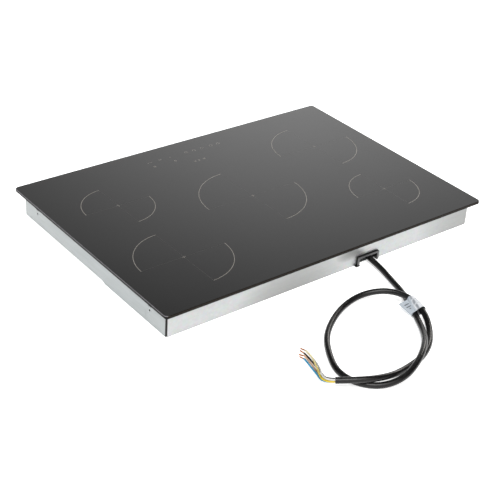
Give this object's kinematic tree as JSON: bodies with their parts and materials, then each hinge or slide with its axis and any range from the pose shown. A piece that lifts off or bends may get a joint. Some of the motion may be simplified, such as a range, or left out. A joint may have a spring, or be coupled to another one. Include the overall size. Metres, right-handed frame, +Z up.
{
  "type": "built-in electric induction cooktop",
  "caption": "Black glass-ceramic cooktop plate on a shallow folded steel box, with coil zones, blowers, a front touch panel and a free mains lead at the rear.",
  "frame": {"origin": "middle of the underside: below the centre of the glass plate, at the level of the rear floor and the front feet", "axes": "+X to the right seen from the front, along the long side of the glass; +Y to the rear, where the mains lead leaves; +Z up, out of the cooking surface"},
  "size_m": [0.75, 0.8192, 0.057],
  "materials": {
    "black_glass": "polished glass-ceramic, printed marks",
    "sealing_bead": "matt silicone",
    "foam_tape": "closed-cell foam",
    "galvanised_sheet": "satin, folded and unpainted",
    "bracket_steel": "satin",
    "screw_steel": "bright zinc",
    "trim_plastic": "moulded",
    "carrier_aluminium": "mill finish",
    "mica": "matt sheet",
    "litz_copper": "enamelled strand",
    "former_plastic": "glass-filled",
    "ferrite": "matt",
    "sensor_silicone": "matt",
    "cushion_silicone": "matt",
    "lead_sleeve": "woven sleeve",
    "circuit_board": "solder resist",
    "heatsink_aluminium": "extruded",
    "component_black": "moulded",
    "capacitor_blue": "moulded",
    "choke_core": "coated",
    "blower_plastic": "moulded",
    "rotor_plastic": "moulded",
    "standoff_nylon": "moulded",
    "tray_plastic": "moulded",
    "spring_steel": "bright",
    "display_plastic": "moulded",
    "terminal_plastic": "moulded",
    "terminal_wire_sleeve": "smooth",
    "clamp_plastic": "moulded",
    "cord_sheath": "smooth",
    "sleeve_green_yellow": "smooth, two colours",
    "sleeve_blue": "smooth",
    "sleeve_grey": "smooth",
    "sleeve_black": "smooth",
    "sleeve_brown": "smooth",
    "bare_copper": "stranded",
    "label_paper": "coated"
  },
  "bodies": {
    "appliance": {"base_pan": "galvanised_sheet", "blower_housing_left": "blower_plastic", "blower_housing_right": "blower_plastic", "board_standoffs": "standoff_nylon", "cable_clamp": "clamp_plastic", "cable_grommet": "trim_plastic", "carrier_brackets": "bracket_steel", "carrier_plate": "carrier_aluminium", "coil_cushions": "cushion_silicone", "coil_ferrites_centre": "ferrite", "coil_ferrites_front_left": "ferrite", "coil_ferrites_front_right": "ferrite", "coil_ferrites_rear_left": "ferrite", "coil_ferrites_rear_right": "ferrite", "coil_former_centre": "former_plastic", "coil_former_front_left": "former_plastic", "coil_former_front_right": "former_plastic", "coil_former_rear_left": "former_plastic", "coil_former_rear_right": "former_plastic", "coil_leads": "lead_sleeve", "coil_winding_centre": "litz_copper", "coil_winding_front_left": "litz_copper", "coil_winding_front_right": "litz_copper", "coil_winding_rear_left": "litz_copper", "coil_winding_rear_right": "litz_copper", "control_board": "circuit_board", "control_carrier": "tray_plastic", "copper_ends": "bare_copper", "cord_label": "label_paper", "core_black": "sleeve_black", "core_blue": "sleeve_blue", "core_brown": "sleeve_brown", "core_earth": "sleeve_green_yellow", "core_grey": "sleeve_grey", "display_module": "display_plastic", "film_capacitors": "capacitor_blue", "filter_board": "circuit_board", "filter_choke": "choke_core", "glass_bead": "sealing_bead", "glass_plate": "black_glass", "heatsink_left": "heatsink_aluminium", "heatsink_right": "heatsink_aluminium", "mica_disc_centre": "mica", "mica_disc_front_left": "mica", "mica_disc_front_right": "mica", "mica_disc_rear_left": "mica", "mica_disc_rear_right": "mica", "pan_screws": "screw_steel", "power_board_left": "circuit_board", "power_board_right": "circuit_board", "power_cord": "cord_sheath", "power_transistors": "component_black", "seal_tape": "foam_tape", "temperature_sensors": "sensor_silicone", "terminal_block": "terminal_plastic", "terminal_screws": "screw_steel", "terminal_wires": "terminal_wire_sleeve", "touch_springs": "spring_steel"},
    "blower_wheel_right": {"blower_rotor_right": "rotor_plastic"},
    "blower_wheel_left": {"blower_rotor_left": "rotor_plastic"}
  },
  "joints": [
    {"name": "blower_right_spin", "type": "hinge", "parent": "appliance", "child": "blower_wheel_right", "pos_m": [0.17, 0.12, 0.015], "axis": [0, 0, 1], "continuous": true},
    {"name": "blower_left_spin", "type": "hinge", "parent": "appliance", "child": "blower_wheel_left", "pos_m": [-0.17, 0.12, 0.015], "axis": [0, 0, 1], "continuous": true}
  ]
}
